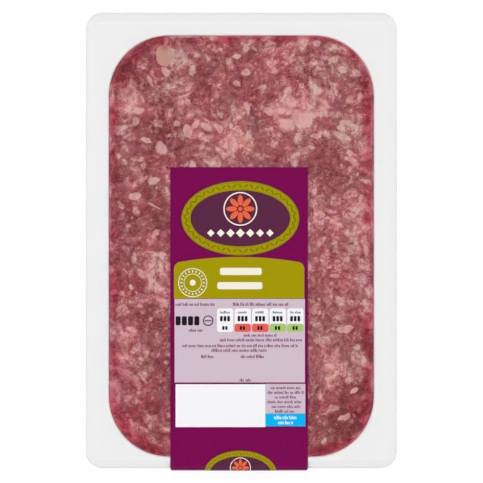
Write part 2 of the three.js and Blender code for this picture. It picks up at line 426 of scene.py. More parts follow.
def fibrous_tone(tree, tone, place, flowing, drift, blotches, fibres):
    """The meat's tone with its blotches, pale membranes, muscle fibres and specks."""
    # Thin pale membranes run along the middle level of that second noise
    from_middle = add(
        tree, "ShaderNodeMath", {"operation": "SUBTRACT"}, values={1: 0.5}, links={0: fibres}
    ).outputs[0]
    away = add(tree, "ShaderNodeMath", {"operation": "ABSOLUTE"}, links={0: from_middle}).outputs[0]
    membrane = add(
        tree,
        "ShaderNodeMapRange",
        values={"From Min": 0, "From Max": 0.03, "To Min": 0.1, "To Max": 0},
        links={"Value": away},
    ).outputs["Result"]
    # Muscle fibres: fine curling lines about 1 mm apart, strongest in patches some 4 mm across
    grain_field = add(
        tree,
        "ShaderNodeTexNoise",
        values={"Scale": 1 / (4.2 * MM), "Detail": 2, "Roughness": 0.5},
        links={"Vector": flowing},
    ).outputs["Fac"]
    turns = add(
        tree, "ShaderNodeMath", {"operation": "MULTIPLY"}, values={1: 55}, links={0: grain_field}
    ).outputs[0]
    lines = add(tree, "ShaderNodeMath", {"operation": "SINE"}, links={0: turns}).outputs[0]
    line_strength = add(
        tree,
        "ShaderNodeMapRange",
        values={"From Min": 0.38, "From Max": 0.6, "To Min": 0.02, "To Max": 0.17},
        links={"Value": drift.outputs["Fac"]},
    ).outputs["Result"]
    fibre_lines = add(
        tree, "ShaderNodeMath", {"operation": "MULTIPLY"}, links={0: lines, 1: line_strength}
    ).outputs[0]
    # Specks of about half a millimetre
    specks = add(
        tree,
        "ShaderNodeTexNoise",
        values={"Scale": 1 / (0.62 * MM), "Detail": 1, "Roughness": 0.5},
        links={"Vector": place},
    ).outputs["Fac"]
    total = tone
    for source, strength in ((blotches, 0.95), (specks, 0.54)):
        lifted = add(
            tree,
            "ShaderNodeMapRange",
            {"clamp": False},
            values={"From Min": 0, "From Max": 1, "To Min": -strength / 2, "To Max": strength / 2},
            links={"Value": source},
        ).outputs["Result"]
        total = add(tree, "ShaderNodeMath", {"operation": "ADD"}, links={0: total, 1: lifted}).outputs[0]
    for mark in (membrane, fibre_lines):
        total = add(tree, "ShaderNodeMath", {"operation": "ADD"}, links={0: total, 1: mark}).outputs[0]
    return total


def fat_over(tree, colours, lean, fat, blotches):
    """Fat over the lean: pink and cloudy, and worn away where it thins out."""
    fat_cloud = add(
        tree,
        "ShaderNodeMapRange",
        values={"From Min": 0.36, "From Max": 0.62, "To Min": 0, "To Max": 1},
        links={"Value": blotches},
    ).outputs["Result"]
    clouded = add(tree, "ShaderNodeMix", COLOUR_MIX, links={"Factor": fat_cloud})
    clouded.inputs["A"].default_value = (*colours.fat_pink, 1)
    clouded.inputs["B"].default_value = (*colours.fat_light, 1)
    # The thickest pieces are a plain beige
    beige = add(
        tree,
        "ShaderNodeMapRange",
        values={"From Min": 1.1, "From Max": 1.5, "To Min": 0, "To Max": 0.85},
        links={"Value": fat},
    ).outputs["Result"]
    fat_colour = add(
        tree, "ShaderNodeMix", COLOUR_MIX, links={"Factor": beige, "A": clouded.outputs["Result"]}
    )
    fat_colour.inputs["B"].default_value = (*colours.fat_warm, 1)
    # Fat wears away unevenly where it thins out
    worn = add(
        tree,
        "ShaderNodeMath",
        {"operation": "MULTIPLY_ADD"},
        values={1: 0.9},
        links={0: blotches, 2: fat},
    ).outputs[0]
    fat_share = add(
        tree,
        "ShaderNodeMapRange",
        {"interpolation_type": "SMOOTHSTEP"},
        values={"From Min": 0.55, "From Max": 1.3, "To Min": 0, "To Max": 0.9},
        links={"Value": worn},
    ).outputs["Result"]
    links = {"Factor": fat_share, "A": lean, "B": fat_colour.outputs["Result"]}
    return add(tree, "ShaderNodeMix", COLOUR_MIX, links=links).outputs["Result"]


def region_tints(tree, colours, meat, flowing):
    """Whole regions lean towards mauve or beige, and others towards red or grey."""
    region = add(
        tree, "ShaderNodeTexNoise", values={"Scale": 1 / (12 * MM), "Detail": 2}, links={"Vector": flowing}
    )
    parts = add(tree, "ShaderNodeSeparateColor", links={"Color": region.outputs["Color"]})
    for channel, first, second in (
        ("Red", colours.mauve_tint, colours.beige_tint),
        ("Green", colours.red_tint, colours.grey_tint),
    ):
        tint = add(
            tree,
            "ShaderNodeValToRGB",
            links={"Fac": parts.outputs[channel]},
            stops=[(0.36, tuple(first)), (0.64, tuple(second))],
        )
        links = {"A": meat, "B": tint.outputs["Color"]}
        tinted = add(tree, "ShaderNodeMix", COLOUR_MULTIPLY, values={"Factor": 1}, links=links)
        meat = tinted.outputs["Result"]
    return meat


def juice_over(tree, colours, meat, juice):
    """Juice reddens what it covers without hiding the grain."""
    red = add(tree, "ShaderNodeMix", COLOUR_MULTIPLY, values={"Factor": 1}, links={"A": meat})
    red.inputs["B"].default_value = (*colours.juice, 1)
    links = {"Factor": juice, "A": meat, "B": red.outputs["Result"]}
    return add(tree, "ShaderNodeMix", COLOUR_MIX, links=links).outputs["Result"]


# The tray


def wall_rings(sizes, grow, floor_height, top_height, steps):
    """Rings down a drafted wall from top_height to the floor; grow moves the wall outwards."""
    mouth = mouth_outline(sizes)
    fillet = sizes.floor_fillet + grow
    fillet_top = floor_height + fillet

    def inset_at(height):
        return (TRAY_HIGH.z - height) * DRAFT - grow

    rings = [
        (shrunk(mouth, inset_at(top_height)), top_height),
        (shrunk(mouth, inset_at(fillet_top + 1 * MM)), fillet_top + 1 * MM),
    ]
    for step in range(steps + 1):
        angle = math.pi / 2 * step / steps
        inset = inset_at(fillet_top) + fillet * (1 - math.cos(angle))
        rings.append((shrunk(mouth, inset), fillet_top - fillet * math.sin(angle)))
    flat = inset_at(fillet_top) + fillet + 1 * MM
    rings.append((shrunk(mouth, flat), floor_height))
    return rings


# Where rings lie across the flange's turned-down band, closest together where it bends most
LIP_RINGS = (0, 0.06, 0.3, 0.52, 0.68, 0.79, 0.87, 0.93, 0.97, 1)


def lip_rings(sizes, height, places):
    """Rings from the flat of the flange over its band, which slopes gently and turns down at its edge."""
    rim = rim_outline(sizes)
    rings = [(shrunk(rim, sizes.lip_side + 0.25 * MM, sizes.lip_front + 0.25 * MM), height)]
    for out in places:
        outline = shrunk(rim, sizes.lip_side * (1 - out), sizes.lip_front * (1 - out))
        rings.append((outline, height - sizes.lip_drop * (0.6 * out + 0.4 * out**12)))
    return rings


class MEATPACK_OT_tray(bpy.types.Operator):
    """Add the white moulded tray with its flange and turned-down lip"""

    bl_idname = "meat_pack.tray"
    bl_label = "Tray"

    def execute(self, context):
        sizes = context.scene.pack_sizes
        mouth = mouth_outline(sizes)
        top = TRAY_HIGH.z
        under = top - sizes.wall
        mouth_edge = []
        for step in range(1, 7):
            angle = math.pi / 2 * step / 6
            inset = sizes.mouth_fillet * (math.cos(angle) - 1)
            mouth_edge.append((shrunk(mouth, inset), top - sizes.mouth_fillet * (1 - math.sin(angle))))
        mouth_edge.append((shrunk(mouth, -sizes.mouth_fillet - 0.5 * MM), top))
        root = []
        root_radius = 1 * MM
        for step in range(6):
            angle = math.pi / 2 * step / 5
            outset = sizes.wall + root_radius * (1 - math.sin(angle))
            root.append((shrunk(mouth, -outset), under - root_radius * (1 - math.cos(angle))))
        inside = wall_rings(sizes, 0, sizes.wall, top - sizes.mouth_fillet, 6)
        outside = wall_rings(sizes, sizes.wall, 0, under - root_radius, 6)
        rings = (
            inside[::-1]
            + mouth_edge
            + lip_rings(sizes, top, LIP_RINGS)
            + [(rim_outline(sizes), top - sizes.lip_drop - sizes.wall / 2)]
            + lip_rings(sizes, under, LIP_RINGS)[::-1]
            + root
            + outside
        )
        bm = bmesh.new()
        loft(bm, rings, ring_places(16))
        # Moulded polypropylene gives an even satin white, with no sharp highlight on the flange
        material = plain_plastic(
            "moulded_polypropylene",
            context.scene.pack_colours.tray,
            roughness=0.55,
            bump_size=9 * MM,
            bump_depth=0.05 * MM,
        )
        finish_piece("tray_shell", bm, material, node="tray")
        return {"FINISHED"}


# The film, which the label follows

# How far in from the mouth the film has come down onto the mince, and how much it waves there
FILM_SETTLED = 9 * MM
FILM_WAVE = 0.07 * MM


def depth_inside(outline, x, y):
    """How far a point lies inside a rounded rectangle; negative outside."""
    half_length = (outline.back - outline.front) / 2
    dx = abs(x) - (outline.half_width - outline.corner)
    dy = abs(y - (outline.back + outline.front) / 2) - (half_length - outline.corner)
    outside = math.hypot(max(dx, 0), max(dy, 0)) + min(max(dx, dy), 0)
    return outline.corner - outside


def film_underside(sizes, x, y):
    """Height of the film's underside: flat on the flange, drawn down a little over the mince."""
    depth = depth_inside(mouth_outline(sizes), x, y)
    hold = smooth_step(0, FILM_SETTLED, depth)
    wave = noise.noise(Vector((x / (31 * MM), y / (23 * MM), 4.7)))
    return TRAY_HIGH.z + FILM_GAP - hold * (sizes.film_dip + FILM_WAVE * wave)


def fitted_grid(outline, columns, rows):
    """A grid fitted to a rounded rectangle, each vertex with its place on the unit square."""
    bm = bmesh.new()
    bmesh.ops.create_grid(bm, x_segments=columns, y_segments=rows, size=1)
    place = bm.verts.layers.float_vector.new("place")
    for vert in bm.verts:
        vert[place] = vert.co
        vert.co = (*place_on(outline, vert.co.x, vert.co.y), 0)
    return bm, place


def grow_edge(bm, place, outline, height):
    """Extrudes the open edge to a new outline and height."""
    loop = [edge for edge in bm.edges if edge.is_boundary]
    grown = bmesh.ops.extrude_edge_only(bm, edges=loop)["geom"]
    for part in grown:
        if isinstance(part, bmesh.types.BMVert):
            part.co = (*place_on(outline, part[place].x, part[place].y), height)


class MEATPACK_OT_film(bpy.types.Operator):
    """Add the clear film sealed over the flange"""

    bl_idname = "meat_pack.film"
    bl_label = "Film"

    def execute(self, context):
        sizes = context.scene.pack_sizes
        bm, place = fitted_grid(mouth_outline(sizes), 44, 70)
        for vert in bm.verts:
            vert.co.z = film_underside(sizes, vert.co.x, vert.co.y)
        seal = bm.verts.layers.float.new("seal")
        inner = len(bm.verts)
        for outline, height in lip_rings(sizes, TRAY_HIGH.z + FILM_GAP, LIP_RINGS[:-1]):
            grow_edge(bm, place, outline, height)
        bm.verts.ensure_lookup_table()
        for vert in bm.verts[inner:]:
            vert[seal] = 1
        bmesh.ops.recalc_face_normals(bm, faces=bm.faces)
        if sum(face.normal.z for face in bm.faces) < 0:
            bmesh.ops.reverse_faces(bm, faces=bm.faces)
        bmesh.ops.solidify(bm, geom=bm.faces[:], thickness=-FILM_THICK)
        bmesh.ops.recalc_face_normals(bm, faces=bm.faces)
        finish_piece("lidding_film", bm, clear_film(), node="film")
        return {"FINISHED"}


# The mince

# Places where juice has gathered along the wall, as x, y and reach from the middle of the tray
JUICE_POOLS = (
    (-52 * MM, 96 * MM, 26 * MM),
    (66 * MM, 62 * MM, 34 * MM),
    (60 * MM, -78 * MM, 18 * MM),
    (43 * MM, -106 * MM, 20 * MM),
    (-66 * MM, 62 * MM, 12 * MM),
    (-66 * MM, 36 * MM, 14 * MM),
    (-66 * MM, 4 * MM, 10 * MM),
    (-66 * MM, -24 * MM, 16 * MM),
    (-66 * MM, -58 * MM, 12 * MM),
    (66 * MM, 18 * MM, 14 * MM),
    (66 * MM, -56 * MM, 26 * MM),
    (22 * MM, 103 * MM, 9 * MM),
    (-8 * MM, 104 * MM, 8 * MM),
    (-55 * MM, -94 * MM, 28 * MM),
)
# Wide patches where juice has soaked the meat
RED_PATCHES = (
    (-56 * MM, -92 * MM, 34 * MM),
    (62 * MM, -92 * MM, 20 * MM),
    (-62 * MM, 88 * MM, 16 * MM),
)
# Darker patches of lean
DARK_PATCHES = (
    (32 * MM, 84 * MM, 16 * MM),
    (-20 * MM, 85 * MM, 14 * MM),
    (-50 * MM, 78 * MM, 8 * MM),
    (-38 * MM, 62 * MM, 12 * MM),
    (-47 * MM, -37.5 * MM, 11 * MM),
    (8 * MM, 63 * MM, 8 * MM),
)
MINCE_TOP = 22.68 * MM

Grain = namedtuple("Grain", "height tone juice rind")


def near_any(spots, x, y):
    """From 0 to 1, how near a point is to the nearest of some spots."""
    best = 0
    for spot_x, spot_y, reach in spots:
        best = max(best, 1 - math.hypot(x - spot_x, y - spot_y) / reach)
    return best


def turned(x, y, angle, stretch):
    """The point in a frame turned by angle, where lengths along its first side count for less."""
    along = x * math.cos(angle) + y * math.sin(angle)
    across = y * math.cos(angle) - x * math.sin(angle)
    return along / stretch, across


def lump(x, y, width, seed):
    """One layer of pressed lumps: the lump's own random share, and how far inside it the point lies."""
    along, across = turned(x, y, seed, 1.3)
    spans, centres = noise.voronoi(Vector((along / width, across / width, seed)))
    return 0.5 + 0.5 * noise.cell(centres[0] * 17.3), spans[1] - spans[0]


def pale_spot_with_shade(x, y, width, share, seed):
    """How far a point lies in one of the roundish spots that fill a share of the cells; just outside them,
    in a thin band of painted shade round a spot, it is a little below 0."""
    along, across = turned(x, y, seed, 1.3)
    spans, centres = noise.voronoi(Vector((along / width, across / width, seed)))
    luck = 0.5 + 0.5 * noise.cell(centres[0] * 23.1)
    if luck > share:
        return 0
    # Painted shade: a thin dark band just outside each spot, as a pressed piece shades the meat round it
    seam_shade = smooth_step(0.56, 0.66, spans[0]) - smooth_step(0.66, 0.8, spans[0])
    return (1 - smooth_step(0.36, 0.6, spans[0])) * (0.45 + 0.55 * luck / share) - 0.3 * seam_shade


def warped(x, y):
    """The point moved by a wide flow, finer curls and a ruffle, each by up to its reach."""
    warped_x, warped_y = x, y
    for width, reach, layer in ((19 * MM, 7 * MM, 0.3), (5 * MM, 1.2 * MM, 7.1), (1.9 * MM, 0.4 * MM, 3.9)):
        warped_x += reach * noise.noise(Vector((x / width, y / width, layer)))
        warped_y += reach * noise.noise(Vector((x / width, y / width, layer + 50)))
    return warped_x, warped_y


def juice_at(x, y, depth, stain):
    """From 0 to 1, how much juice lies at a point: in a wavy band and a line at the wall, and in pools."""
    ripple = noise.noise(Vector((x / (4 * MM), y / (4 * MM), 0)))
    band = 1 - smooth_step(1.5 * MM, 8 * MM, depth + 2.5 * MM * ripple)
    streak = 0.5 + noise.noise(Vector((x / (7 * MM), y / (7 * MM), 9.9)))
    pool = 0.2 + 2 * near_any(JUICE_POOLS, x, y)
    wall_line = (0.9 if x > 0 else 0.65) * (1 - smooth_step(1.2 * MM, 3 * MM, depth))
    return min(1, max(0, band * pool + stain, wall_line) * (0.4 + streak))


def rind_at(x, y, depth):
    """How thick a smear of fat lies at a point: in stretches, within 1.3 mm of the wall."""
    patchy = smooth_step(-0.1, 0.25, noise.noise(Vector((x / (16 * MM), y / (16 * MM), 1.9))))
    rind = 1.5 * patchy * smooth_step(0.1 * MM, 0.5 * MM, depth)
    return rind * (1 - smooth_step(0.6 * MM, 1.3 * MM, depth))


def grain_at(sizes, mouth, x, y):
    """Height and colouring of the pressed mince at one point."""
    warped_x, warped_y = warped(x, y)
    large, large_gap = lump(warped_x, warped_y, sizes.grain * 1.2, 0.0)
    small, small_gap = lump(warped_x, warped_y, sizes.grain * 0.5, 6.1)
    slow = noise.noise(Vector((x / (21 * MM), y / (21 * MM), 11.5)))
    gather = noise.noise(Vector((x / (9 * MM), y / (9 * MM), 5.5)))
    depth = depth_inside(mouth, x, y)
    crevice = 1 - smooth_step(0, 0.2, large_gap)
    small_crevice = 1 - smooth_step(0, 0.26, small_gap)
    rough = noise.noise(Vector((x / (0.9 * MM), y / (0.9 * MM), 2.2)))
    wall_dip = (1 - smooth_step(0, 4 * MM, depth)) ** 2
    height = (
        MINCE_TOP
        - sizes.grain_depth * (0.4 * crevice + 0.18 * small_crevice)
        - 0.2 * MM * large
        - 0.1 * MM * small
        - 0.06 * MM * (1 + rough)
        - 0.5 * MM * wall_dip
    )
    # Soft pale spots of four sizes, each ringed by painted shade, lie in the lean, closest together where the
    # slower noise is high
    crowd = 0.36 + 0.36 * gather + 0.3 * slow
    spots = sum(
        strength * pale_spot_with_shade(warped_x, warped_y, width * MM, crowd, seed)
        for strength, width, seed in ((0.3, 7.5, 1.3), (0.31, 4.6, 2.6), (0.28, 2.9, 4.4), (0.15, 1.7, 5.7))
    )
    tone = 0.43 + 0.26 * slow + 0.1 * gather + 0.1 * (large - 0.5) + 0.1 * (small - 0.5) + spots
    # Painted shade: the meat is darker in the crevices between lumps
    tone -= 0.07 * crevice + 0.06 * small_crevice
    stain = 0.75 * near_any(RED_PATCHES, x, y)
    tone -= 0.24 * near_any(DARK_PATCHES, x, y) + 0.1 * stain
    # Lighter within 3 mm of the wall, and a line of painted shade right at the edge, where the mince meets
    # the wall
    tone += 0.16 * (1 - smooth_step(0, 3 * MM, depth)) - 0.3 * (1 - smooth_step(0, 0.5 * MM, depth))
    return Grain(height, tone, juice_at(x, y, depth, stain), rind_at(x, y, depth))


def meat_layers(bm):
    """The three numbers that the meat's material reads from each vertex."""
    return [bm.verts.layers.float.new(name) for name in ("tone", "fat", "juice")]


class MEATPACK_OT_mince(bpy.types.Operator):
    """Add the pressed block of mince that fills the tray"""

    bl_idname = "meat_pack.mince"
    bl_label = "Mince"

    def execute(self, context):
        sizes = context.scene.pack_sizes
        mouth = mouth_outline(sizes)
        top_outline = shrunk(mouth, MINCE_GAP)
        spacing = 0.61 * MM
        columns = round(2 * top_outline.half_width / spacing)
        rows = round((top_outline.back - top_outline.front) / spacing)
        bm, place = fitted_grid(top_outline, columns, rows)
        tone, fat, juice = meat_layers(bm)
        for vert in bm.verts:
            grain = grain_at(sizes, mouth, vert.co.x, vert.co.y)
            vert.co.z = grain.height
            vert[tone] = grain.tone
            vert[fat] = grain.rind
            vert[juice] = grain.juice
        floor = sizes.wall + MINCE_GAP
        for height in (20.5 * MM, 17 * MM, 12 * MM, 6.5 * MM):
            inset = (TRAY_HIGH.z - height) * DRAFT + MINCE_GAP
            grow_edge(bm, place, shrunk(mouth, inset), height)
        fillet = sizes.floor_fillet
        for step in range(1, 5):
            angle = math.pi / 2 * step / 4
            inset = (TRAY_HIGH.z - floor - fillet) * DRAFT + MINCE_GAP + fillet * (1 - math.cos(angle))
            grow_edge(bm, place, shrunk(mouth, inset), floor + fillet * (1 - math.sin(angle)))
        bmesh.ops.contextual_create(bm, geom=[edge for edge in bm.edges if edge.is_boundary])
        bmesh.ops.recalc_face_normals(bm, faces=bm.faces)
        material = pressed_mince(context.scene.pack_colours)
        finish_piece("mince_block", bm, material, node="mince", sharp=False)
        return {"FINISHED"}


Fleck = namedtuple("Fleck", "x y turn length width lift bend wobble strength edge seed")


def press_flecks(name, sizes, flecks, subdivisions, material):
    """One piece of many flattened lumps of fat, each laid on the mince and sunk in at its rim."""
    mouth = mouth_outline(sizes)
    bm = bmesh.new()
    tone, fat, juice = meat_layers(bm)
    for fleck in flecks:
        cos_turn, sin_turn = math.cos(fleck.turn), math.sin(fleck.turn)
        ball = bmesh.ops.create_icosphere(bm, subdivisions=subdivisions, radius=1)
        for vert in ball["verts"]:
            point = vert.co.copy()
            reach = min(1, math.hypot(point.x, point.y))
            angle = math.atan2(point.y, point.x)
            bulge = 1 + fleck.wobble * (
                0.6 * math.sin(2 * angle + fleck.seed)
                + 0.5 * math.sin(3 * angle + 2.3 * fleck.seed)
                + 0.35 * math.sin(5 * angle + 4.1 * fleck.seed)
            )
            along = point.x * bulge * fleck.length / 2
            across = point.y * bulge * fleck.width / 2
            across += fleck.bend * (point.x * point.x - 0.4) * fleck.length / 2
            x = fleck.x + along * cos_turn - across * sin_turn
            y = fleck.y + along * sin_turn + across * cos_turn
            grain = grain_at(sizes, mouth, x, y)
            if point.z > 0.01:
                raised = MINCE_TOP - 0.45 * (MINCE_TOP - grain.height) - 0.16 * MM + fleck.lift
                sunk = grain.height - 0.06 * MM
                z = min(raised + (sunk - raised) * reach**4, MINCE_TOP + 0.04 * MM)
            else:
                z = grain.height - 0.06 * MM + 0.5 * MM * point.z
            vert.co = (x, y, z)
            vert[tone] = grain.tone
            vert[juice] = grain.juice
            vert[fat] = fleck.strength * smooth_step(0, 0.7 * fleck.edge, 1 - reach)
    finish_piece(name, bm, material, sharp=False)


def scattered_places(sizes, draw, count, apart, margin):
    """Random places inside the mouth that keep their distance from each other."""
    mouth = mouth_outline(sizes)
    taken = {}
    places = []
    tries = 0
    while len(places) < count and tries < count * 30:
        tries += 1
        x = draw.uniform(-mouth.half_width, mouth.half_width)
        y = draw.uniform(mouth.front, mouth.back)
        if depth_inside(mouth, x, y) < margin:
            continue
        cell_x, cell_y = int(x // apart), int(y // apart)
        near = [
            other
            for step_x in (-1, 0, 1)
            for step_y in (-1, 0, 1)
            for other in taken.get((cell_x + step_x, cell_y + step_y), [])
        ]
        if any(math.hypot(x - other_x, y - other_y) < apart for other_x, other_y in near):
            continue
        taken.setdefault((cell_x, cell_y), []).append((x, y))
        places.append((x, y))
    return places


# The largest pieces of fat: place in millimetres, turn in degrees, length, width, unevenness, soft edge, and
# how solid the fat is
FAT_CHUNKS = (
    (-38.0, 92.6, 100, 11.4, 9.8, 0.05, 0.2, 1.6),
    (-26.8, 55.0, 105, 7.2, 5.2, 0.05, 0.25, 1.15),
    (-17.4, 57.0, 140, 7.6, 4.6, 0.12, 0.5, 0.9),
    (-47.5, 50.6, 165, 6.6, 3.0, 0.15, 0.4, 0.85),
    (-40.0, 46.5, 100, 9.4, 8.0, 0.15, 0.9, 1.0),
    (-52.5, 60.0, 80, 6.0, 5.0, 0.15, 0.7, 0.6),
    (-55.0, 69.8, 90, 5.2, 4.0, 0.15, 0.7, 0.7),
    (-54.8, 79.0, 80, 6.5, 3.0, 0.2, 0.7, 0.6),
    (-45.5, 80.0, 118, 7.0, 2.6, 0.2, 0.5, 0.8),
    (-48.5, 87.3, 40, 5.0, 4.6, 0.15, 0.8, 0.55),
    (-41.5, 58.9, 170, 9.6, 5.4, 0.2, 0.8, 0.6),
    (-26.6, 69.4, 20, 4.2, 4.0, 0.15, 0.7, 0.65),
    (-43.6, 30.4, 5, 7.2, 4.2, 0.1, 0.4, 0.9),
    (-2.2, 92.2, 10, 5.4, 3.0, 0.12, 0.5, 0.8),
    (2.2, 84.3, 5, 6.2, 4.0, 0.12, 0.5, 0.85),
    (-2.2, 78.6, 150, 5.0, 4.4, 0.15, 0.7, 0.75),
    (13.2, 88.8, 95, 4.2, 1.9, 0.1, 0.5, 0.8),
    (10.2, 76.8, 10, 7.4, 3.6, 0.2, 0.7, 0.7),
    (23.1, 75.3, 40, 6.2, 4.6, 0.25, 0.7, 0.85),
    (2.8, 67.0, 95, 8.4, 4.2, 0.2, 0.8, 0.75),
    (27.5, 62.6, 100, 10.8, 8.2, 0.18, 0.9, 1.0),
    (37.5, 98.7, 0, 5.0, 4.0, 0.12, 0.5, 0.85),
    (45.5, 90.2, 40, 6.4, 3.4, 0.3, 0.4, 1.0),
    (50.3, 85.5, 0, 6.0, 4.2, 0.15, 0.6, 0.8),
    (57.0, 84.0, 150, 5.8, 4.6, 0.15, 0.6, 0.75),
    (59.1, 71.7, 85, 6.8, 3.2, 0.1, 0.5, 0.8),
    (41.0, 67.2, 100, 10.0, 8.0, 0.25, 1.0, 0.75),
    (52.7, 58.9, 165, 10.5, 3.0, 0.2, 0.5, 0.95),
    (50.3, 52.2, 158, 14.0, 5.4, 0.15, 0.9, 0.8),
    (37.3, 52.8, 10, 6.6, 4.0, 0.2, 0.6, 0.85),
    (54.3, 41.0, 160, 7.0, 3.0, 0.12, 0.3, 1.1),
    (59.4, 21.6, 70, 7.0, 3.0, 0.2, 0.7, 0.65),
    (49.0, 8.2, 140, 8.0, 3.4, 0.2, 0.9, 0.6),
    (62.0, -4.2, 100, 6.5, 3.4, 0.1, 0.5, 0.75),
    (52.5, -8.7, 20, 4.2, 3.2, 0.1, 0.4, 0.95),
    (46.5, -16.7, 5, 8.0, 3.2, 0.2, 0.8, 0.6),
    (49.0, -28.6, 155, 7.2, 2.8, 0.15, 0.6, 0.8),
    (51.5, -43.5, 10, 9.5, 5.0, 0.2, 0.5, 0.85),
    (57.6, -52.5, 30, 5.0, 4.6, 0.12, 0.7, 0.6),
    (44.0, -61.9, 160, 7.2, 3.8, 0.2, 0.7, 0.8),
    (56.2, -73.9, 30, 5.2, 3.2, 0.15, 0.5, 0.8),
    (51.5, -87.3, 20, 6.4, 4.2, 0.3, 0.4, 1.0),
    (-53.0, 22.6, 5, 6.8, 5.0, 0.12, 0.4, 1.0),
    (-52.5, 15.2, 100, 7.0, 4.6, 0.15, 0.7, 0.65),
    (-43.5, 17.8, 150, 9.0, 1.4, 0.2, 0.5, 0.9),
    (-39.2, -6.2, 0, 4.6, 3.0, 0.15, 0.4, 0.9),
    (-53.5, -8.2, 80, 7.0, 4.2, 0.2, 0.8, 0.6),
    (-59.8, -25.6, 20, 4.8, 3.6, 0.12, 0.6, 0.75),
    (-39.5, -29.1, 165, 6.6, 2.8, 0.15, 0.5, 0.9),
    (-53.5, -54.0, 40, 5.2, 4.8, 0.15, 0.8, 0.6),
    (-49.0, -67.9, 130, 7.4, 2.4, 0.2, 0.6, 0.7),
    (-57.0, -77.8, 60, 7.2, 5.6, 0.2, 1.0, 0.65),
    (-48.5, -93.2, 150, 7.6, 2.2, 0.2, 0.6, 0.65),
)


class MEATPACK_OT_fat(bpy.types.Operator):
    """Add the flecks, pieces and threads of fat that lie pressed in the mince"""

    bl_idname = "meat_pack.fat"
    bl_label = "Fat"

    def execute(self, context):
        sizes = context.scene.pack_sizes
        material = bpy.data.materials["pressed_raw_mince"]
        draw = random.Random(41)
        small = []
        for x, y in scattered_places(sizes, draw, sizes.small_flecks, 2 * MM, 1 * MM):
            width = draw.uniform(1.2, 2.4) * MM
            stretch = draw.uniform(1, 1.8)
            lift = draw.uniform(0.04, 0.14) * MM
            strength = draw.uniform(0.12, 0.6)
            edge = draw.uniform(0.6, 1)
            small.append(spread_fleck(draw, x, y, width, stretch, lift, 0.3, strength, edge))
        press_flecks("fat_flecks", sizes, small, 2, material)
        large = []
        for x, y in scattered_places(sizes, draw, sizes.fat_pieces, 5.5 * MM, 2 * MM):
            width = draw.uniform(2.6, 5) * MM
            stretch = draw.uniform(1, 1.9)
            lift = draw.uniform(0.06, 0.18) * MM
            strength = 0.25 + 0.75 * draw.random() ** 2
            edge = draw.uniform(0.3, 0.9)
            large.append(spread_fleck(draw, x, y, width, stretch, lift, 0.3, strength, edge))
        press_flecks("fat_pieces", sizes, large, 3, material)
        lift = 0.3 * MM
        bend = 0.05
        chunks = []
        for x, y, turn, long, wide, wobble, edge, fat in FAT_CHUNKS:
            shape = (x * MM, y * MM, math.radians(turn), long * MM, wide * MM)
            chunks.append(Fleck(*shape, lift, bend, wobble, fat, edge, x + y))
        press_flecks("fat_chunks", sizes, chunks, 3, material)
        threads = []
        for x, y in scattered_places(sizes, draw, sizes.threads, 4 * MM, 2 * MM):
            width = draw.uniform(0.3, 0.55) * MM
            stretch = draw.uniform(5, 12)
            strength = draw.uniform(0.2, 0.6)
            threads.append(spread_fleck(draw, x, y, width, stretch, 0.1 * MM, 0.6, strength, 0.7))
        press_flecks("sinew_threads", sizes, threads, 3, material)
        return {"FINISHED"}


def spread_fleck(draw, x, y, width, stretch, lift, bend, strength, edge):
    """A fleck with its turn, bend and outline drawn at random."""
    return Fleck(
        x,
        y,
        draw.uniform(0, math.pi),
        width * stretch,
        width,
        lift,
        draw.uniform(-bend, bend),
        draw.uniform(0.05, 0.22),
        strength,
        edge,
        draw.uniform(0, math.tau),
    )


# The label

# How rough its print is, where the hanging end touches the tray's wall, and the room that the fold leaves in
# front of itself for the label's own thickness and its inks
PRINT_ROUGHNESS = 0.16
TOUCH_HEIGHT = 9 * MM
FOLD_ROOM = 0.34 * MM


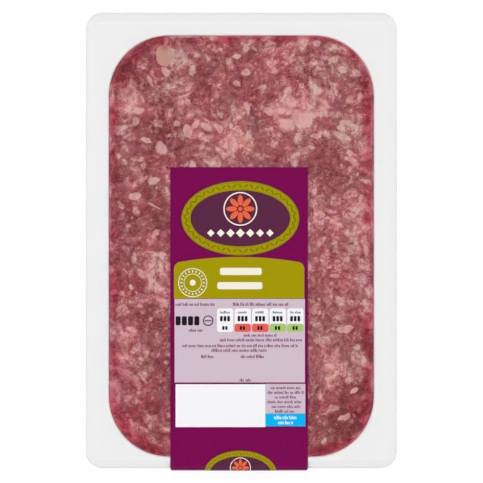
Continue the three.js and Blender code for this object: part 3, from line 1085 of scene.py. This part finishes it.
class LabelRun:
    """The label's way over the film, round the front edge and down to the tray's front wall."""

    def __init__(self, sizes):
        self.sizes = sizes
        self.middle = (LABEL_LOW.x + LABEL_HIGH.x) / 2
        self.half_width = (LABEL_HIGH.x - LABEL_LOW.x) / 2
        self.radius = sizes.fold_radius
        self.fold_y = LABEL_LOW.y + FOLD_ROOM + self.radius
        self.fold_z = TRAY_HIGH.z + FILM_GAP + LABEL_GAP - self.radius
        self.touch = self.on_wall(TOUCH_HEIGHT)
        self.end = self.on_wall(LABEL_LOW.z + 0.2 * MM)
        away = self.touch - Vector((self.fold_y, self.fold_z))
        turn = math.atan2(away.y, away.x) % (2 * math.pi) - math.acos(self.radius / away.length)
        self.fold_angle = turn - math.pi / 2
        self.flat = LABEL_HIGH.y - self.fold_y
        self.fold_end = self.flat + self.radius * self.fold_angle
        self.leave = Vector(
            (
                self.fold_y + self.radius * math.cos(turn),
                self.fold_z + self.radius * math.sin(turn),
            )
        )
        self.hang_end = self.fold_end + (self.touch - self.leave).length
        self.total = self.hang_end + (self.end - self.touch).length

    def on_wall(self, height):
        """The label's place, as y and z, against the tray's front wall at some height."""
        foot = mouth_outline(self.sizes).front - self.sizes.wall - 0.1 * MM
        return Vector((foot + (TRAY_HIGH.z - height) * DRAFT, height))

    def point(self, across, down, lift):
        """The place of a point that lies across from the middle line, down from the back edge, lift above."""
        x = self.middle + across
        if down <= self.flat:
            y = LABEL_HIGH.y - down
            return Vector((x, y, film_underside(self.sizes, x, y) + LABEL_GAP + lift))
        pulled = 0.8 * MM * self.pull(across) * smooth_step(0, self.radius * 1.2, down - self.flat)
        if down <= self.fold_end:
            angle = math.pi / 2 + (down - self.flat) / self.radius
            out = self.radius + lift
            y = self.fold_y + out * math.cos(angle)
            return Vector((x, y + pulled, self.fold_z + out * math.sin(angle)))
        if down <= self.hang_end:
            share = (down - self.fold_end) / (self.hang_end - self.fold_end)
            along = (self.touch - self.leave).normalized()
            at = self.leave.lerp(self.touch, share)
            pulled *= 1 - share
        else:
            share = (down - self.hang_end) / (self.total - self.hang_end)
            along = (self.end - self.touch).normalized()
            at = self.touch.lerp(self.end, min(share, 1))
            pulled = 0
        return Vector((x, at.x + along.y * lift + pulled, at.y - along.x * lift))

    def pull(self, across):
        """How much the fold is drawn in near the label's two side edges, from 0 to 1."""
        left = max(0, 1 - (self.half_width - abs(across)) / (1.2 * MM))
        return 1 - math.sqrt(max(0, 1 - left * left))


def bar(bm, left, top, right, bottom, corner=0):
    """A flat rectangle in the label's plane, with rounded corners if corner is given."""
    centre = Vector(((left + right) / 2, (top + bottom) / 2, 0))
    size = Matrix.Diagonal((right - left, bottom - top, 1, 1))
    made = bmesh.ops.create_grid(
        bm, x_segments=1, y_segments=1, size=0.5, matrix=Matrix.Translation(centre) @ size
    )
    if corner:
        bmesh.ops.bevel(
            bm,
            geom=made["verts"],
            offset=corner,
            offset_type="OFFSET",
            segments=5,
            profile=0.5,
            affect="VERTICES",
            material=-1,
        )


def disc(bm, across, down, radius, radius_down=None, segments=48, turn=0):
    """A flat disc or oval in the label's plane."""
    size = Matrix.Diagonal((radius, radius_down or radius, 1, 1))
    place = Matrix.Translation((across, down, 0)) @ Matrix.Rotation(turn, 4, "Z") @ size
    return bmesh.ops.create_circle(bm, cap_ends=True, segments=segments, radius=1, matrix=place)


def hoop(bm, across, down, outer, inner, outer_down=None, inner_down=None, segments=64):
    """A flat ring or oval ring in the label's plane."""
    made = disc(bm, across, down, outer, outer_down, segments)
    edges = {edge for vert in made["verts"] for edge in vert.link_edges}
    faces = {face for vert in made["verts"] for face in vert.link_faces}
    bmesh.ops.delete(bm, geom=list(faces), context="FACES_ONLY")
    grown = bmesh.ops.extrude_edge_only(bm, edges=list(edges))["geom"]
    ratio_across = inner / outer
    ratio_down = (inner_down or inner) / (outer_down or outer)
    for part in grown:
        if isinstance(part, bmesh.types.BMVert):
            part.co.x = across + (part.co.x - across) * ratio_across
            part.co.y = down + (part.co.y - down) * ratio_down


def patch(bm, corners):
    """A flat patch with the given corners in the label's plane."""
    made = bmesh.ops.create_circle(bm, cap_ends=True, segments=len(corners), radius=1)
    for vert, (across, down) in zip(made["verts"], corners, strict=True):
        vert.co = (across, down, 0)


def small_print(bm, draw, left, right, middle, height):
    """Rows of short upright strokes, grouped like the words of small print but spelling nothing."""
    at = left
    foot = middle + height / 2
    while at < right - 0.8 * MM:
        word_end = min(at + draw.uniform(1.6, 4.8) * MM, right)
        while at < word_end:
            stroke = draw.uniform(0.26, 0.46) * MM
            tall = height * draw.choice((0.68, 0.68, 0.72, 1))
            bar(bm, at, foot - tall, at + stroke, foot)
            at += stroke + 0.26 * MM
        at += 0.5 * MM


def lay_on_label(name, bm, run, bottom, top, material, node=None):
    """Cuts a flat shape where the label bends, gives it thickness and wraps it along the label."""
    downs = [run.flat * step / 30 for step in range(1, 31)]
    downs += [run.flat + (run.fold_end - run.flat) * step / 16 for step in range(1, 17)]
    downs += [run.fold_end + (run.hang_end - run.fold_end) * step / 4 for step in range(1, 4)]
    downs.append(run.hang_end)
    acrosses = [run.half_width * step / 7 for step in range(-6, 7)]
    acrosses += [side * (run.half_width - inset * MM) for side in (-1, 1) for inset in (0.3, 0.7, 1.2)]
    cuts = [((0, down, 0), (0, 1, 0)) for down in downs]
    cuts += [((across, 0, 0), (1, 0, 0)) for across in acrosses]
    low = Vector([min(vert.co[axis] for vert in bm.verts) for axis in range(3)])
    high = Vector([max(vert.co[axis] for vert in bm.verts) for axis in range(3)])
    for where, way in cuts:
        axis = 0 if way[0] else 1
        if low[axis] < where[axis] < high[axis]:
            bmesh.ops.bisect_plane(
                bm,
                geom=bm.verts[:] + bm.edges[:] + bm.faces[:],
                dist=1e-7,
                plane_co=where,
                plane_no=way,
            )
    grown = bmesh.ops.extrude_face_region(bm, geom=bm.faces[:], use_keep_orig=True)["geom"]
    lifted = {part for part in grown if isinstance(part, bmesh.types.BMVert)}
    for vert in bm.verts:
        vert.co = run.point(vert.co.x, vert.co.y, top if vert in lifted else bottom)
    bmesh.ops.recalc_face_normals(bm, faces=bm.faces)
    finish_piece(name, bm, material, node)


class MEATPACK_OT_label(bpy.types.Operator):
    """Add the purple label that lies on the film and folds over the front edge"""

    bl_idname = "meat_pack.label"
    bl_label = "Label"

    def execute(self, context):
        sizes = context.scene.pack_sizes
        run = LabelRun(sizes)
        bm = bmesh.new()
        bar(bm, -run.half_width, 0, run.half_width, run.total)
        # Film printed and laminated: one deep colour under a clear gloss
        material = plain_plastic("gloss_printed_label", context.scene.pack_colours.purple, PRINT_ROUGHNESS)
        lay_on_label("label_strip", bm, run, 0, sizes.label_thick, material, node="label")
        return {"FINISHED"}


# Each ink's colour by name, and its layer: a higher layer covers the lower ones
INKS = {
    "olive_panel": ("olive", 1),
    "lilac_panel": ("lilac", 1),
    "blue_panel": ("blue", 1),
    "small_print": ("purple", 2),
    "white_boxes": ("white", 2),
    "plum_outline": ("plum", 2),
    "olive_ring": ("olive", 3),
    "red_boxes": ("red", 3),
    "green_boxes": ("green", 3),
    "plum_field": ("plum", 4),
    "olive_leaves": ("olive_dark", 4),
    "cream_marks": ("cream", 5),
    "black_marks": ("black", 5),
    "orange_petals": ("orange", 6),
}
# The print's places on the label, across from its middle line and down from its back edge, in millimetres
MEDALLION_MIDDLE = 25.4
HANGING_MEDALLION_MIDDLE = 152.4
HANGING_MEDALLION_SCALE = 0.62
STAMP = (-23.1, 57.4)
# Bars in the place of the name, and fields of colour: left, top, right and bottom
NAME_BARS = ((-9.6, 50.0, 11.3, 53.6), (-10.9, 57.1, 11.6, 60.7))
FIELDS = (
    ("lilac_panel", -32.1, 65.5, 32.7, 107.0),
    ("lilac_panel", 13.0, 107.7, 32.9, 122.5),
    ("white_boxes", -31.6, 107.9, 13.0, 129.2),
    ("blue_panel", 13.0, 122.6, 32.9, 128.8),
)
# Five figure boxes in a row, white above and coloured below
FIGURE_BOXES_LEFT = -11.0
FIGURE_BOX_PITCH = 8.73
FIGURE_BOX_WIDTH = 8.1
FIGURE_BOX_TOP = 70.2
FIGURE_BOX_SPLIT = 77.8
FIGURE_BOX_BOTTOM = 81.9
# Lines of small print: left, right, middle and height
PRINT_LINES = (
    (-31.6, -12.6, 68.1, 1.7),
    (-3.0, 24.5, 68.1, 1.7),
    (-25.0, -18.6, 81.0, 1.6),
    (2.3, 18.7, 83.5, 1.5),
    (-9.6, 30.8, 85.8, 1.6),
    (-28.2, 29.1, 88.7, 1.6),
    (-13.8, 14.1, 91.0, 1.6),
    (-19.0, -13.0, 94.1, 1.6),
    (0.8, 13.6, 94.1, 1.6),
    (0.3, 5.9, 105.8, 1.6),
)
# Half the width of each line in the small panel at the right
STORAGE_LINES = (7.4, 8.9, 5.3, 9.0, 6.8, 5.2)


class MEATPACK_OT_print(bpy.types.Operator):
    """Add the print: fields of colour, a medallion, boxes and plain marks, each ink one thin piece"""

    bl_idname = "meat_pack.print"
    bl_label = "Print"

    def execute(self, context):
        sizes = context.scene.pack_sizes
        colours = context.scene.pack_colours
        run = LabelRun(sizes)
        draw = random.Random(7)
        shapes = {name: bmesh.new() for name in INKS}
        medallion(shapes, MEDALLION_MIDDLE * MM, 1)
        medallion(shapes, HANGING_MEDALLION_MIDDLE * MM, HANGING_MEDALLION_SCALE)
        name_panel(shapes)
        facts_panel(shapes, draw)
        for name, bm in shapes.items():
            ink, layer = INKS[name]
            bottom = sizes.label_thick - sizes.ink / 2
            top = sizes.label_thick + layer * sizes.ink
            material = plain_plastic("printed_" + name, getattr(colours, ink), PRINT_ROUGHNESS)
            lay_on_label(name, bm, run, bottom, top, material)
        return {"FINISHED"}


def medallion(shapes, middle, scale):
    """An oval medallion: olive ring with leaves, plum field, orange flower in a ring, row of diamonds."""
    unit = scale * MM
    centre = 0.6 * MM
    across, down = 29.2 * unit, 18.4 * unit
    ring = 4.4 * unit
    disc(shapes["plum_outline"], centre, middle, across + 0.45 * unit, down + 0.45 * unit, 96)
    hoop(shapes["olive_ring"], centre, middle, across, across - ring, down, down - ring, 96)
    disc(shapes["plum_field"], centre, middle, across - ring, down - ring, 96)
    # Leaves lie in pairs along the middle of the ring, tipped to either side of its run
    for leaf in range(60):
        angle = math.tau * leaf / 60
        run = math.atan2((down - ring / 2) * math.cos(angle), -(across - ring / 2) * math.sin(angle))
        tip = 0.75 if leaf % 2 else -0.75
        disc(
            shapes["olive_leaves"],
            centre + (across - ring / 2) * math.cos(angle),
            middle + (down - ring / 2) * math.sin(angle),
            1.35 * unit,
            0.45 * unit,
            14,
            run + tip,
        )
    for inset in (0.35, 3.85):
        outer_across, outer_down = across - inset * unit, down - inset * unit
        line = 0.22 * unit
        hoop(
            shapes["olive_leaves"],
            centre,
            middle,
            outer_across,
            outer_across - line,
            outer_down,
            outer_down - line,
            96,
        )
    flower = middle - 4.7 * unit
    hoop(shapes["cream_marks"], centre, flower, 8.4 * unit, 7.8 * unit)
    for petal in range(8):
        angle = math.tau * petal / 8
        disc(
            shapes["orange_petals"],
            centre + 4.3 * unit * math.cos(angle),
            flower + 4.3 * unit * math.sin(angle),
            2.7 * unit,
            1.3 * unit,
            20,
            angle,
        )
    disc(shapes["orange_petals"], centre, flower, 1.1 * unit, segments=24)
    for diamond in range(-3, 4):
        disc(
            shapes["cream_marks"],
            centre + 4.9 * diamond * unit,
            middle + 7.3 * unit,
            (2.2 - 0.12 * abs(diamond)) * unit,
            (2.2 - 0.12 * abs(diamond)) * unit,
            4,
        )


def name_panel(shapes):
    """The olive panel with its domed top, two plain bars and a ringed stamp."""
    half, foot, shoulder, dome = 32.4, 65.3, 47.0, 44.6
    corners = [(-half, foot), (half, foot)]
    round_radius = 3.6
    for side in (1, -1):
        arc = []
        for step in range(7):
            angle = math.pi / 2 * step / 6
            arc.append(
                (
                    side * (half - round_radius + round_radius * math.cos(angle)),
                    shoulder + round_radius - round_radius * math.sin(angle),
                )
            )
        if side == 1:
            corners += arc
            reach = half - round_radius
            for step in range(1, 24):
                share = 1 - step / 12
                corners.append((reach * share, dome + (shoulder - dome) * share * share))
        else:
            corners += arc[::-1]
    patch(shapes["olive_panel"], [(across * MM, down * MM) for across, down in corners])
    cream = shapes["cream_marks"]
    for sides in NAME_BARS:
        bar(cream, *(side * MM for side in sides), 1.2 * MM)
    across, down = STAMP[0] * MM, STAMP[1] * MM
    hoop(cream, across, down, 7.2 * MM, 6.8 * MM)
    hoop(cream, across, down, 4.5 * MM, 4.2 * MM)
    disc(cream, across, down, 1.5 * MM, 1.5 * MM, 24)
    for tick in range(20):
        angle = math.tau * tick / 20
        disc(
            cream,
            across + 5.65 * MM * math.cos(angle),
            down + 5.65 * MM * math.sin(angle),
            0.66 * MM,
            0.26 * MM,
            10,
            angle,
        )


def facts_panel(shapes, draw):
    """The lilac, white and blue fields with their boxes and small print."""
    for ink, *sides in FIELDS:
        bar(shapes[ink], *(side * MM for side in sides))
    white, black = shapes["white_boxes"], shapes["black_marks"]
    for left, right, middle, height in PRINT_LINES:
        small_print(shapes["small_print"], draw, left * MM, right * MM, middle * MM, height * MM)
    for number, half in enumerate(STORAGE_LINES):
        middle = (109.6 + 2.34 * number) * MM
        small_print(shapes["small_print"], draw, (23 - half) * MM, (23 + half) * MM, middle, 1.5 * MM)
    # The weight, as four blocks and a ring
    for block in range(4):
        left = (-31.6 + 3.1 * block) * MM
        bar(black, left, 74.1 * MM, left + 2.5 * MM, 78.6 * MM, 0.7 * MM)
    hoop(black, -15.4 * MM, 76.3 * MM, 2.6 * MM, 2.1 * MM)
    bar(black, -17.2 * MM, 76.1 * MM, -13.6 * MM, 76.6 * MM)
    split, bottom = FIGURE_BOX_SPLIT * MM, FIGURE_BOX_BOTTOM * MM
    for box, low in enumerate(("white_boxes", "red_boxes", "red_boxes", "green_boxes", "green_boxes")):
        left = (FIGURE_BOXES_LEFT + FIGURE_BOX_PITCH * box) * MM
        right = left + FIGURE_BOX_WIDTH * MM
        bar(white, left, FIGURE_BOX_TOP * MM, right, bottom, 1.2 * MM)
        if low != "white_boxes":
            bar(shapes[low], left, split, right, bottom, 1.1 * MM)
        small_print(black, draw, left + 1.6 * MM, right - 1.4 * MM, 72.1 * MM, 1.2 * MM)
        for digit in range(3):
            start = left + (1.5 + 1.8 * digit) * MM
            bar(black, start, 74.0 * MM, start + 1.3 * MM, 76.6 * MM, 0.35 * MM)
        for digit in range(2):
            start = left + (2.6 + 1.5 * digit) * MM
            bar(black, start, 79.0 * MM, start + 1.1 * MM, 80.9 * MM, 0.3 * MM)
    # Two white lines on the blue field
    small_print(white, draw, 17.4 * MM, 28.8 * MM, 124.4 * MM, 1.7 * MM)
    small_print(white, draw, 19.4 * MM, 26.8 * MM, 126.9 * MM, 1.7 * MM)


# The studio


class MEATPACK_OT_studio(bpy.types.Operator):
    """Add the pale floor, the soft light and the camera straight above"""

    bl_idname = "meat_pack.studio"
    bl_label = "Studio"

    def execute(self, context):
        scene = context.scene
        studio = scene.studio_settings
        bm = bmesh.new()
        bmesh.ops.create_grid(bm, x_segments=1, y_segments=1, size=3)
        mesh = bpy.data.meshes.new("floor")
        bm.to_mesh(mesh)
        bm.free()
        floor = bpy.data.objects.new("floor", mesh)
        scene.collection.objects.link(floor)
        mesh.materials.append(lit_table())
        scene.world = studio_world(studio.room_light)
        soft_box(scene, "key_soft_box", place=(-1.1, 0.8, 1.1), size=0.8, power=studio.key_light)
        camera = bpy.data.cameras.new("camera")
        camera.lens = camera.sensor_width * studio.distance / studio.frame_width
        camera.clip_end = 20
        eye = bpy.data.objects.new("camera", camera)
        # The photo's middle lies a hair to the right of the tray's middle and behind it
        eye.location = (0.075 * MM, 0.1 * MM, TRAY_HIGH.z + studio.distance)
        scene.collection.objects.link(eye)
        scene.camera = eye
        scene.view_settings.view_transform = "Standard"
        return {"FINISHED"}


def lit_table():
    """A table that glows evenly, which shows it white and keeps shadows faint."""
    material, tree, output = new_material("lit_white_table")
    surface = add(
        tree,
        "ShaderNodeBsdfPrincipled",
        values={
            "Base Color": (0.3, 0.3, 0.3, 1),
            "Roughness": 0.9,
            "Emission Color": (1, 1, 1, 1),
            "Emission Strength": 0.76,
        },
    )
    tree.links.new(surface.outputs["BSDF"], output.inputs["Surface"])
    return material


def studio_world(strength):
    """White light, dim at the horizon and brightest in a ring high up. A dark patch straight above and narrow
    dark cards in front and behind keep the film and the label's fold from shining into the camera."""
    world = bpy.data.worlds.new("studio_light")
    world.use_nodes = True
    tree = world.node_tree
    way = add(tree, "ShaderNodeTexCoord")
    parts = add(tree, "ShaderNodeSeparateXYZ", links={"Vector": way.outputs["Object"]})
    level = add(
        tree,
        "ShaderNodeValToRGB",
        links={"Fac": parts.outputs["Z"]},
        stops=[
            (0, (0.18,) * 3),
            (0.45, (0.2,) * 3),
            (0.7, (0.5,) * 3),
            (0.82, (1,) * 3),
            (0.94, (1,) * 3),
            (0.965, (0.01,) * 3),
        ],
    )
    across, along = (
        add(tree, "ShaderNodeMath", {"operation": "ABSOLUTE"}, links={0: parts.outputs[axis]}).outputs[0]
        for axis in ("X", "Y")
    )
    towards_ends = add(tree, "ShaderNodeMath", {"operation": "SUBTRACT"}, links={0: along, 1: across})
    cards = add(
        tree,
        "ShaderNodeMapRange",
        values={"From Min": 0.2, "From Max": 0.32, "To Min": strength, "To Max": 0.04 * strength},
        links={"Value": towards_ends.outputs[0]},
    )
    sky = tree.nodes["Background"]
    tree.links.new(level.outputs["Color"], sky.inputs["Color"])
    tree.links.new(cards.outputs["Result"], sky.inputs["Strength"])
    return world


def soft_box(scene, name, place, size, power):
    """A square area light aimed at the pack."""
    light = bpy.data.lights.new(name, "AREA")
    light.shape = "SQUARE"
    light.size = size
    light.energy = power
    box = bpy.data.objects.new(name, light)
    box.location = place
    box.rotation_euler = (-Vector(place)).to_track_quat("-Z", "Y").to_euler()
    scene.collection.objects.link(box)


class MEATPACK_PT_panel(bpy.types.Panel):
    """Lists the pieces of the pack and its sizes"""

    bl_label = "Meat tray pack"
    bl_idname = "MEATPACK_PT_panel"
    bl_space_type = "VIEW_3D"
    bl_region_type = "UI"
    bl_category = "Meat tray"

    def draw(self, context):
        for operator in OPERATORS:
            self.layout.operator(operator.bl_idname)
        for group in ("pack_sizes", "pack_colours", "studio_settings"):
            settings = getattr(context.scene, group)
            box = self.layout.box()
            for name in settings.__annotations__:
                box.prop(settings, name)


OPERATORS = (
    MEATPACK_OT_tray,
    MEATPACK_OT_mince,
    MEATPACK_OT_fat,
    MEATPACK_OT_film,
    MEATPACK_OT_label,
    MEATPACK_OT_print,
    MEATPACK_OT_studio,
)
CLASSES = (PackSizes, PackColours, StudioSettings, *OPERATORS, MEATPACK_PT_panel)


def register():
    for cls in CLASSES:
        bpy.utils.register_class(cls)
    bpy.types.Scene.pack_sizes = PointerProperty(type=PackSizes)
    bpy.types.Scene.pack_colours = PointerProperty(type=PackColours)
    bpy.types.Scene.studio_settings = PointerProperty(type=StudioSettings)


def unregister():
    del bpy.types.Scene.studio_settings
    del bpy.types.Scene.pack_colours
    del bpy.types.Scene.pack_sizes
    for cls in reversed(CLASSES):
        bpy.utils.unregister_class(cls)


def main():
    register()
    bpy.ops.meat_pack.tray()
    bpy.ops.meat_pack.mince()
    bpy.ops.meat_pack.fat()
    bpy.ops.meat_pack.film()
    bpy.ops.meat_pack.label()
    bpy.ops.meat_pack.print()
    bpy.ops.meat_pack.studio()


if __name__ == "__main__":
    main()
